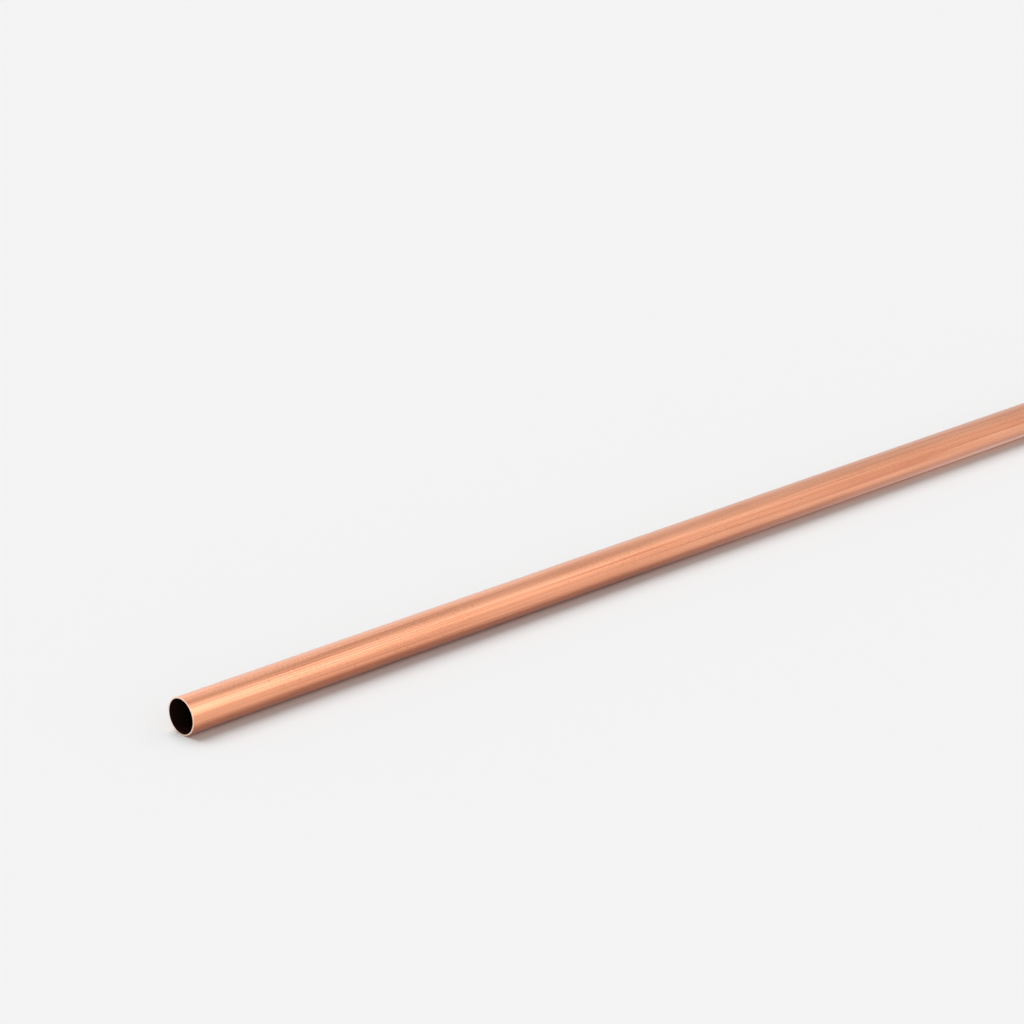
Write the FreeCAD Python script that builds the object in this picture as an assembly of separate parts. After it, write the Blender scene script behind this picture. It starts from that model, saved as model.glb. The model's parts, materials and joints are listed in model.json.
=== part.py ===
import FreeCAD, Part
import os

from FreeCAD import Vector

# A straight length of half-hard copper water tube, lying on its side along X.
# It is one drawn piece: a thin round wall, open from end to end.
# The origin is under the middle of the tube, on the surface that it lies on.

# Driving dimensions, in millimetres
outside_diameter = 22.0      # the size by which such tube and its fittings are named
wall_thickness = 0.9
pipe_length = 1000.0
outer_edge_radius = 0.2      # brushed round on the outside of each cut end
bore_chamfer = 0.15          # burr taken off the inside of each cut end, at 45 degrees

# Sizes that follow from them
outside_radius = outside_diameter / 2
bore_radius = outside_radius - wall_thickness
half_length = pipe_length / 2
axis_height = outside_radius


def wall_section():
    """One side of the tube cut along its axis, as a closed outline above that axis.

    From the middle of one cut face it runs along the outside to the other cut face and back through the bore."""
    def point(along, radius):
        return Vector(along, 0, axis_height + radius)

    def edge_round(end):
        """Quarter circle between a cut face and the outside; end is -1 or 1."""
        centre_along = end * (half_length - outer_edge_radius)
        centre_radius = outside_radius - outer_edge_radius
        share = outer_edge_radius * 0.5 ** 0.5
        on_face = point(end * half_length, centre_radius)
        middle = point(centre_along + end * share, centre_radius + share)
        on_outside = point(centre_along, outside_radius)
        return on_face, middle, on_outside

    face_a, middle_a, outside_a = edge_round(-1)
    face_b, middle_b, outside_b = edge_round(1)
    mouth_a = point(-half_length, bore_radius + bore_chamfer)
    mouth_b = point(half_length, bore_radius + bore_chamfer)
    bore_a = point(-half_length + bore_chamfer, bore_radius)
    bore_b = point(half_length - bore_chamfer, bore_radius)

    outline = [
        Part.LineSegment(mouth_a, face_a),
        Part.Arc(face_a, middle_a, outside_a),
        Part.LineSegment(outside_a, outside_b),
        Part.Arc(outside_b, middle_b, face_b),
        Part.LineSegment(face_b, mouth_b),
        Part.LineSegment(mouth_b, bore_b),
        Part.LineSegment(bore_b, bore_a),
        Part.LineSegment(bore_a, mouth_a),
    ]
    return Part.Wire([curve.toShape() for curve in outline])


def copper_pipe():
    """The tube: its wall section turned once round the axis."""
    section = Part.Face(wall_section())
    return section.revolve(Vector(0, 0, axis_height), Vector(1, 0, 0), 360)


os.makedirs("parts", exist_ok=True)
copper_pipe().exportStep("parts/copper_pipe.step")
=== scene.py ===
import json
import math

import bpy
import numpy as np
from mathutils import Matrix, Vector


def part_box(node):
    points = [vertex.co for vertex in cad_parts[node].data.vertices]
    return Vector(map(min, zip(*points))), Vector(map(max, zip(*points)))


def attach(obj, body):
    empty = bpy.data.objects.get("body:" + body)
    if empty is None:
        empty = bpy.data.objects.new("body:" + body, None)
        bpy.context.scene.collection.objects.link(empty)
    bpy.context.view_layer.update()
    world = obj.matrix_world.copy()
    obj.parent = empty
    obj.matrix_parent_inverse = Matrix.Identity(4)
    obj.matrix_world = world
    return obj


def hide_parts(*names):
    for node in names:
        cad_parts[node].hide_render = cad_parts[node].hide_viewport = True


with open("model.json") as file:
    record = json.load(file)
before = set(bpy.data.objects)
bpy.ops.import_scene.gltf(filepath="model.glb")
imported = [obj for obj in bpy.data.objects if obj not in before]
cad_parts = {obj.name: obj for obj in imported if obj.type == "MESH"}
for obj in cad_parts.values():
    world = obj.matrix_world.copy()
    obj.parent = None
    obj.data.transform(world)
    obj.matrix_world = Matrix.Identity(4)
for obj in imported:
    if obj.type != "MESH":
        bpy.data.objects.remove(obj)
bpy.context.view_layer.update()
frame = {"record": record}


# The pipe: one length of half-hard copper water tube. It is drawn through a die over a plug, which leaves
# its outside bright with fine straight lines, then sawn square and brushed, so that its cut edges are clean
# and pale. Their near-white is partly a painted highlight.

pipe_low, pipe_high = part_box("copper_pipe")
half_length = (pipe_high.x - pipe_low.x) / 2
outside_radius = (pipe_high.z - pipe_low.z) / 2
mounts = {mount["name"]: mount for mount in frame["record"]["mounts"]}
bore_radius = mounts["bore"]["dims"]["r_mm"] / 1000
outer_edge_radius = 0.0002      # brushed round on the outside of each cut end, in metres
bore_chamfer = 0.00015          # burr taken off the bore's mouths, at 45 degrees
edge_steps = 6
steps_round = 256
strip_count = 4
rings_per_strip = 12


def cut_end(side):
    """One cut end from the outside to the bore, as (along, radius) points: a quarter circle on the outer
    edge, the flat sawn face, and the straight 45 degree chamfer. side is -1 or 1."""
    turn = np.linspace(0, np.pi / 2, edge_steps + 1)
    along = half_length - outer_edge_radius * (1 - np.sin(turn))
    radius = outside_radius - outer_edge_radius * (1 - np.cos(turn))
    edge = np.stack([along, radius], 1)
    face_middle = (half_length, (radius[-1] + bore_radius + bore_chamfer) / 2)
    mouth = (half_length, bore_radius + bore_chamfer)
    bore_start = (half_length - bore_chamfer, bore_radius)
    points = np.vstack([edge, [face_middle, mouth, bore_start]])
    return points * (side, 1)


def straight(start, end, parts):
    """Evenly spaced points strictly between two profile points."""
    share = np.linspace(0, 1, parts + 1)[1:-1, None]
    return start + (end - start) * share


def turned(name, profile, centre_height, steps):
    """A closed profile of (along, radius) points carried once round the axis. Point (i, j) lies at
    (along i, -radius i * sin of turn j, centre height + radius i * cos of turn j). The quad after point i
    of the profile is in face row i, so that rows can be given materials and places in the UV map."""
    along, radius = profile.T
    turn = np.linspace(0, 2 * np.pi, steps, endpoint=False)
    places = np.empty((len(profile), steps, 3))
    places[..., 0] = along[:, None]
    places[..., 1] = -radius[:, None] * np.sin(turn)
    places[..., 2] = centre_height + radius[:, None] * np.cos(turn)
    row, column = np.meshgrid(np.arange(len(profile)), np.arange(steps), indexing="ij")
    next_row = (row + 1) % len(profile)
    next_column = (column + 1) % steps
    quads = np.stack([row * steps + column, row * steps + next_column,
                      next_row * steps + next_column, next_row * steps + column], -1)
    mesh = bpy.data.meshes.new(name)
    mesh.from_pydata(places.reshape(-1, 3).tolist(), [], quads.reshape(-1, 4).tolist())
    return mesh


def strips(rows, count, left, right, bottom, height, pitch):
    """Places in the UV map for face rows that lie in a number of equal strips, one above the other: for
    each row its u at the start and end, and its v at the start and end of the turn. pitch is the way from
    the bottom of one strip to the bottom of the next."""
    strip, step = np.divmod(np.arange(rows), rows // count)
    width = (right - left) / (rows // count)
    start = left + step * width
    low = bottom + strip * pitch
    return np.stack([start, start + width, low, low + height], 1)


end_b = cut_end(1)
end_a = cut_end(-1)[::-1]
rows_of_end = len(end_b) - 1
rows_of_wall = strip_count * rings_per_strip
bore_parts = straight(end_b[-1], end_a[0], rows_of_wall)
outside_parts = straight(end_a[-1], end_b[0], rows_of_wall)
profile = np.vstack([end_b, bore_parts, end_a, outside_parts])
pipe_mesh = turned("drawn_copper_pipe", profile, outside_radius, steps_round)

# The finishes are 0 on the drawn outside, 1 on the brushed cut and 2 in the bore and its chamfers,
# which are coloured near-black as painted shade.
# In the UV map the outside is four broad strips, the bore four narrow ones above them, and the cut ends
# stand at the right.
row_finish = np.repeat([1, 2, 1, 0], [rows_of_end - 1, rows_of_wall + 2, rows_of_end - 1, rows_of_wall])
beside = dict(count=1, left=0.972, right=0.995, height=0.48, pitch=0.0)
across = dict(count=strip_count, left=0.005, right=0.965)
row_places = np.vstack([strips(rows_of_end, bottom=0.01, **beside),
                        strips(rows_of_wall, bottom=0.845, height=0.0345, pitch=0.0375, **across),
                        strips(rows_of_end, bottom=0.51, **beside),
                        strips(rows_of_wall, bottom=0.005, height=0.2, pitch=0.21, **across)])
u_start, u_end, v_start, v_end = row_places.T[:, :, None]
v_line = v_start + (v_end - v_start) * np.linspace(0, 1, steps_round + 1)
corners = np.empty((len(profile), steps_round, 4, 2))
corners[:, :, :2, 0] = u_start[..., None]
corners[:, :, 2:, 0] = u_end[..., None]
corners[:, :, [0, 3], 1] = v_line[:, :-1, None]
corners[:, :, [1, 2], 1] = v_line[:, 1:, None]
atlas = pipe_mesh.uv_layers.new(name="OFBake")
atlas.data.foreach_set("uv", corners.astype(np.float32).ravel())
pipe_mesh.polygons.foreach_set("material_index", np.repeat(row_finish, steps_round).astype(np.int32))
pipe_mesh.polygons.foreach_set("use_smooth", np.ones(len(pipe_mesh.polygons), dtype=bool))

# The edges of the chamfers stay sharp. The wall and the rounds at its ends are smooth.
least_sharp_edge = math.radians(30)
pipe_mesh.set_sharp_from_angle(angle=least_sharp_edge)


def linear(colour):
    """An sRGB hex colour such as "B87333" as linear red, green, blue and 1."""
    parts = [int(colour[k:k + 2], 16) / 255 for k in (0, 2, 4)]
    return [p / 12.92 if p <= 0.04045 else ((p + 0.055) / 1.055) ** 2.4 for p in parts] + [1.0]


def add(tree, kind, inputs=(), **settings):
    """One new node. settings are its properties. inputs pairs a socket's name or number with a value, with
    the socket that feeds it, or with a node whose first open output feeds it."""
    made = tree.nodes.new(kind)
    for name, value in settings.items():
        setattr(made, name, value)
    for key, value in dict(inputs).items():
        if isinstance(value, bpy.types.Node):
            value = next(output for output in value.outputs if output.enabled)
        if isinstance(value, bpy.types.NodeSocket):
            tree.links.new(value, made.inputs[key])
        else:
            made.inputs[key].default_value = value
    return made


def bare_material(name):
    """A new material of that name, with no nodes in it yet."""
    material = bpy.data.materials.new(name)
    material.use_nodes = True
    material.node_tree.nodes.clear()
    return material


def marks(tree, along, across, seed, detail=1.0):
    """Noise from 0 to 1 in the object's own coordinates, whose marks are about that long along the pipe and
    that wide across it, in metres. A noise cell holds two marks, so it is twice their size. The seed moves
    the noise along, so that no two patterns are alike."""
    place = add(tree, "ShaderNodeTexCoord").outputs["Object"]
    cells = (0.5 / along, 0.5 / across, 0.5 / across)
    place = add(tree, "ShaderNodeMapping", {"Vector": place, "Location": (seed, seed, seed), "Scale": cells})
    return add(tree, "ShaderNodeTexNoise", {"Vector": place, "Scale": 1.0, "Detail": detail})


def spots(tree, spacing, radius, stretch, seed):
    """Rare spots, 1 inside and 0 outside, of that spacing and radius in metres. They are stretched that
    many times round the pipe. Each is full up to half its radius, and has faded out at 1.3 of it."""
    place = add(tree, "ShaderNodeTexCoord").outputs["Object"]
    cells = (1 / spacing, 1 / spacing / stretch, 1 / spacing / stretch)
    place = add(tree, "ShaderNodeMapping", {"Vector": place, "Location": (seed, seed, seed), "Scale": cells})
    nearest = add(tree, "ShaderNodeTexVoronoi", {"Vector": place, "Scale": 1.0})
    share = radius / spacing
    full = share * 0.5
    faded = share * 1.3
    return add(tree, "ShaderNodeMapRange", {"Value": nearest, "From Min": full, "From Max": faded,
                                            "To Min": 1.0, "To Max": 0.0})


def washed(tree, skin, colour, pattern, low, high, most=1.0):
    """The skin with a colour washed over it where a pattern is strong: none of it up to low, and from there
    smoothly more, up to the share most at high. The mix takes its two colours at sockets 6 and 7."""
    share = add(tree, "ShaderNodeMapRange", {"Value": pattern, "From Min": low, "From Max": high,
                                             "To Max": most}, interpolation_type="SMOOTHSTEP")
    return add(tree, "ShaderNodeMix", {"Factor": share, 6: skin, 7: linear(colour)}, data_type="RGBA")


def drawn_copper():
    """Bright drawn copper as it leaves the die, under a thin film of drawing oil. To the eye it is satin,
    with straight draw lines, soft bands of tone, a mottled first bloom of tarnish, small dark specks and
    cross scratches. Real draw lines are 0.1 to 0.3 mm wide, and the mottle's grain is finer still. The soft
    lines are drawn 0.6 mm wide, the deep ones 0.35 mm and the mottle's grain 0.5 mm, to show."""
    material = bare_material("drawn_copper")
    tree = material.node_tree
    bands = marks(tree, along=0.30, across=0.0022, seed=53.0)
    lines = marks(tree, along=0.06, across=0.0006, seed=3.0)
    deep_lines = marks(tree, along=0.12, across=0.00035, seed=47.0)
    mottle = marks(tree, along=0.0006, across=0.0005, seed=5.0)
    bloom = marks(tree, along=0.040, across=0.009, seed=23.0)
    bloom_mottle = add(tree, "ShaderNodeMath", {0: mottle, 1: bloom}, operation="MULTIPLY")
    dark_specks = spots(tree, spacing=0.0060, radius=0.00036, stretch=1.0, seed=1.0)
    scratches = spots(tree, spacing=0.006, radius=0.00018, stretch=14.0, seed=4.0)

    skin = washed(tree, linear("F6A77E"), "FBB088", bands, low=0.36, high=0.64)
    skin = washed(tree, skin, "E48D5C", lines, low=0.42, high=0.70, most=0.27)
    skin = washed(tree, skin, "D07550", deep_lines, low=0.54, high=0.66, most=0.58)
    skin = washed(tree, skin, "BC6530", bloom_mottle, low=0.20, high=0.36, most=0.18)
    skin = washed(tree, skin, "FFD8BC", scratches, low=0.0, high=1.0, most=0.35)
    # Small dark specks, drawn as darker round spots in the skin.
    skin = washed(tree, skin, "4E1F12", dark_specks, low=0.0, high=1.0, most=0.80)

    rough = add(tree, "ShaderNodeMapRange", {"Value": bands, "From Min": 0.3, "From Max": 0.7,
                                             "To Min": 0.23, "To Max": 0.27})

    # In the relief the mottle's grain is this share as deep as the lines.
    grain_depth = 0.6
    height = add(tree, "ShaderNodeMath", {0: mottle, 1: grain_depth, 2: lines}, operation="MULTIPLY_ADD")
    relief = add(tree, "ShaderNodeBump", {"Height": height, "Strength": 0.3, "Distance": 0.00002})
    copper = add(tree, "ShaderNodeBsdfPrincipled", {"Base Color": skin, "Metallic": 1.0, "Roughness": rough,
                                                    "Coat Weight": 1.0, "Coat Roughness": 0.2,
                                                    "Coat IOR": 1.45, "Normal": relief})
    add(tree, "ShaderNodeOutputMaterial", {"Surface": copper})
    return material


def brushed_cut():
    """Sawn and wire-brushed copper. The cut is drawn near-white cream: paler than the drawn skin, as fresh
    copper is, and paler still as a painted highlight. It has a fine glitter of scratches, 0.1 mm apart, and
    drawn 0.5 mm apart to show."""
    material = bare_material("brushed_cut_copper")
    tree = material.node_tree
    scratches = marks(tree, along=0.0005, across=0.0005, seed=13.0, detail=2.0)
    # The cut's near-white is partly fresh copper's own tone and partly a painted highlight.
    skin = washed(tree, linear("FFEAD8"), "F6C6A8", scratches, low=0.40, high=0.70)
    rough = add(tree, "ShaderNodeMapRange", {"Value": scratches, "From Min": 0.3, "From Max": 0.7,
                                             "To Min": 0.34, "To Max": 0.46})
    relief = add(tree, "ShaderNodeBump", {"Height": scratches, "Strength": 0.3, "Distance": 0.00003})
    copper = add(tree, "ShaderNodeBsdfPrincipled", {"Base Color": skin, "Metallic": 1.0, "Roughness": rough,
                                                    "Normal": relief})
    add(tree, "ShaderNodeOutputMaterial", {"Surface": copper})
    return material


def painted_shade_bore():
    """The plug-drawn bore, coloured nearly black as painted shade for the inside of the tube, with faint
    draw lines and browner patches. Its draw lines are as fine as those outside, and drawn 0.6 mm wide to
    show."""
    material = bare_material("bore_painted_shade")
    tree = material.node_tree
    lines = marks(tree, along=0.08, across=0.0006, seed=17.0)
    patches = marks(tree, along=0.012, across=0.005, seed=19.0, detail=2.0)
    # The bore's near-black is painted shade for the inside of the tube.
    skin = washed(tree, linear("1A0A06"), "2E150D", patches, low=0.40, high=0.70)
    skin = washed(tree, skin, "3A1B10", lines, low=0.55, high=0.75, most=0.4)
    rough = add(tree, "ShaderNodeMapRange", {"Value": patches, "From Min": 0.3, "From Max": 0.7,
                                             "To Min": 0.52, "To Max": 0.66})
    relief = add(tree, "ShaderNodeBump", {"Height": lines, "Strength": 0.3, "Distance": 0.00003})
    film = add(tree, "ShaderNodeBsdfPrincipled", {"Base Color": skin, "Metallic": 0.0, "Roughness": rough,
                                                  "Specular IOR Level": 0.15, "Normal": relief})
    add(tree, "ShaderNodeOutputMaterial", {"Surface": film})
    return material


for finish in (drawn_copper(), brushed_cut(), painted_shade_bore()):
    pipe_mesh.materials.append(finish)
pipe = bpy.data.objects.new("drawn_copper_pipe", pipe_mesh)
bpy.context.scene.collection.objects.link(pipe)
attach(pipe, "root")
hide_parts("copper_pipe")


# The surface that it lies on: a matt pale studio table, large enough to fill every view. It is no part of
# the pipe, and is only there to carry its shadow.

floor_half = 8.0
floor_mesh = bpy.data.meshes.new("studio_table")
floor_mesh.from_pydata([(-floor_half, -floor_half, 0), (floor_half, -floor_half, 0),
                        (floor_half, floor_half, 0), (-floor_half, floor_half, 0)], [], [(0, 1, 2, 3)])
floor = bpy.data.objects.new("studio_table", floor_mesh)
bpy.context.scene.collection.objects.link(floor)
table_white = bare_material("matt_table_white")
tree = table_white.node_tree
lit = add(tree, "ShaderNodeBsdfDiffuse", {"Color": linear("F4F4F4")})

# The pipe shows the table's shadow as a brown band along its lower edge. In the pipe's reflections, and only
# there, that shadow pales towards the +X end: from paling_start to paling_end, in metres along X, a glow of
# the lit table's tone takes over, up to the share paling_most. That glow is painted light and lights
# nothing.
paling_start = -0.15
paling_end = 0.19
paling_most = 0.52
place = add(tree, "ShaderNodeSeparateXYZ", {0: add(tree, "ShaderNodeTexCoord").outputs["Object"]})
pale = add(tree, "ShaderNodeMapRange", {"Value": place.outputs["X"], "From Min": paling_start,
                                        "From Max": paling_end, "To Max": paling_most})
mirrored = add(tree, "ShaderNodeLightPath").outputs["Is Glossy Ray"]
pale = add(tree, "ShaderNodeMath", {0: pale, 1: mirrored}, operation="MULTIPLY")
painted_table_glow = add(tree, "ShaderNodeEmission", {"Color": linear("F3F3F3")})
table = add(tree, "ShaderNodeMixShader", {0: pale, 1: lit, 2: painted_table_glow})
add(tree, "ShaderNodeOutputMaterial", {"Surface": table})
table_white.cycles.emission_sampling = "NONE"
floor_mesh.materials.append(table_white)


# The light: a pale studio. A broad soft light stands in front and above and a weaker one behind, with a
# narrow dark gap overhead between them. The walls are even, but for a darker stretch half way round to each
# end. A lamp behind and above lights the table.

world = bpy.data.worlds.new("pale_studio")
bpy.context.scene.world = world
world.use_nodes = True
tree = world.node_tree
tree.nodes.clear()

# tilt is measured round the pipe's axis, from overhead towards the front. endward is 0 for a way across the
# pipe and 1 for one along it.
way = add(tree, "ShaderNodeSeparateXYZ", {0: add(tree, "ShaderNodeTexCoord").outputs["Generated"]}).outputs
forward = add(tree, "ShaderNodeMath", {0: way["Y"], 1: -1.0}, operation="MULTIPLY")
tilt = add(tree, "ShaderNodeMath", {0: forward, 1: way["Z"]}, operation="ARCTAN2")
endward = add(tree, "ShaderNodeMath", {0: way["X"]}, operation="ABSOLUTE")


def glow(measure, middle, core, reach, brightness):
    """Light of that brightness where the measure is within core of middle, fading smoothly to nothing
    at reach from it."""
    away = add(tree, "ShaderNodeMath", {0: measure, 1: middle}, operation="SUBTRACT")
    away = add(tree, "ShaderNodeMath", {0: away}, operation="ABSOLUTE")
    return add(tree, "ShaderNodeMapRange", {"Value": away, "From Min": core, "From Max": reach,
                                            "To Min": brightness, "To Max": 0.0},
               interpolation_type="SMOOTHSTEP")


def fading(light, start, end, rest):
    """A light that fades smoothly to the share rest as endward goes from start to end."""
    share = add(tree, "ShaderNodeMapRange", {"Value": endward, "From Min": start, "From Max": end,
                                             "To Min": 1.0, "To Max": rest},
                interpolation_type="SMOOTHSTEP")
    return add(tree, "ShaderNodeMath", {0: light, 1: share}, operation="MULTIPLY")


front = glow(tilt, middle=math.radians(54), core=math.radians(13), reach=math.radians(41), brightness=0.76)
front = fading(front, start=0.61, end=0.68, rest=0.04)
behind = glow(tilt, middle=math.radians(-52), core=0.0, reach=math.radians(38), brightness=0.22)
behind = fading(behind, start=0.62, end=0.74, rest=0.0)
gap = glow(tilt, middle=math.radians(-2), core=0.0, reach=math.radians(12), brightness=-0.34)
gap = fading(gap, start=0.56, end=0.68, rest=0.15)
level = add(tree, "ShaderNodeMath", {0: front, 1: behind}, operation="ADD")
level = add(tree, "ShaderNodeMath", {0: level, 1: gap}, operation="ADD")

# Every tilt meets straight off the pipe's ends, so what is left of these three fades out before there, and
# only the even walls show.
level = fading(level, start=0.80, end=0.98, rest=0.0)
dark_stretch = glow(endward, middle=0.72, core=0.0, reach=0.16, brightness=-0.24)
level = add(tree, "ShaderNodeMath", {0: level, 1: dark_stretch}, operation="ADD")
wall_level = 0.90
level = add(tree, "ShaderNodeMath", {0: level, 1: wall_level}, operation="ADD")

# Matt things get only this share of the room's light, because the table lamp gives them the rest.
matt_share = 0.37
matt_bounces = add(tree, "ShaderNodeLightPath").outputs["Diffuse Depth"]
room_share = add(tree, "ShaderNodeMapRange", {"Value": matt_bounces, "To Min": 1.0, "To Max": matt_share})
level = add(tree, "ShaderNodeMath", {0: level, 1: room_share}, operation="MULTIPLY")
room = add(tree, "ShaderNodeBackground", {"Color": linear("FFFFFF"), "Strength": level})
add(tree, "ShaderNodeOutputWorld", {"Surface": room})

# lamp_level is how much of white the lamp alone gives a level white surface. The lamp isn't mirrored in the
# pipe.
lamp_height = math.radians(64)
lamp_level = 0.588
lamp = bpy.data.lights.new("table_lamp", "SUN")
lamp.angle = math.radians(50)
lamp.energy = lamp_level * math.pi / math.sin(lamp_height)
table_lamp = bpy.data.objects.new("table_lamp", lamp)
towards_lamp = Vector((0, math.cos(lamp_height), math.sin(lamp_height)))
table_lamp.rotation_euler = (-towards_lamp).to_track_quat("-Z", "Y").to_euler()
table_lamp.visible_glossy = False
bpy.context.scene.collection.objects.link(table_lamp)


# The camera: a long lens, looking down on the near end from the front left. Its place is worked out from
# where the middle of the near mouth stands in the picture, and how far off that is.

focal_px = 3250.0
image_px = 1024.0
look_down = math.radians(20.06)
pipe_off_sight = math.radians(46.27)
mouth_px = (180.9, 716.5)
mouth_depth = 1.757     # metres along the line of sight

heading = Matrix.Rotation(pipe_off_sight, 3, "Z") @ Vector((1, 0, 0))
sight = heading * math.cos(look_down) + Vector((0, 0, -math.sin(look_down)))
right = sight.cross(Vector((0, 0, 1))).normalized()
down = sight.cross(right)
offset = [(pixel - image_px / 2) / focal_px * mouth_depth for pixel in mouth_px]
mouth = Vector((-half_length, 0, outside_radius))
lens = bpy.data.cameras.new("long_lens")
lens.sensor_width = 36.0
lens.lens = focal_px / image_px * lens.sensor_width
lens.clip_end = 100.0
camera = bpy.data.objects.new("camera", lens)
camera.location = mouth - sight * mouth_depth - right * offset[0] - down * offset[1]
camera.rotation_euler = sight.to_track_quat("-Z", "Y").to_euler()
bpy.context.scene.collection.objects.link(camera)
bpy.context.scene.camera = camera
bpy.context.scene.view_settings.view_transform = "Standard"
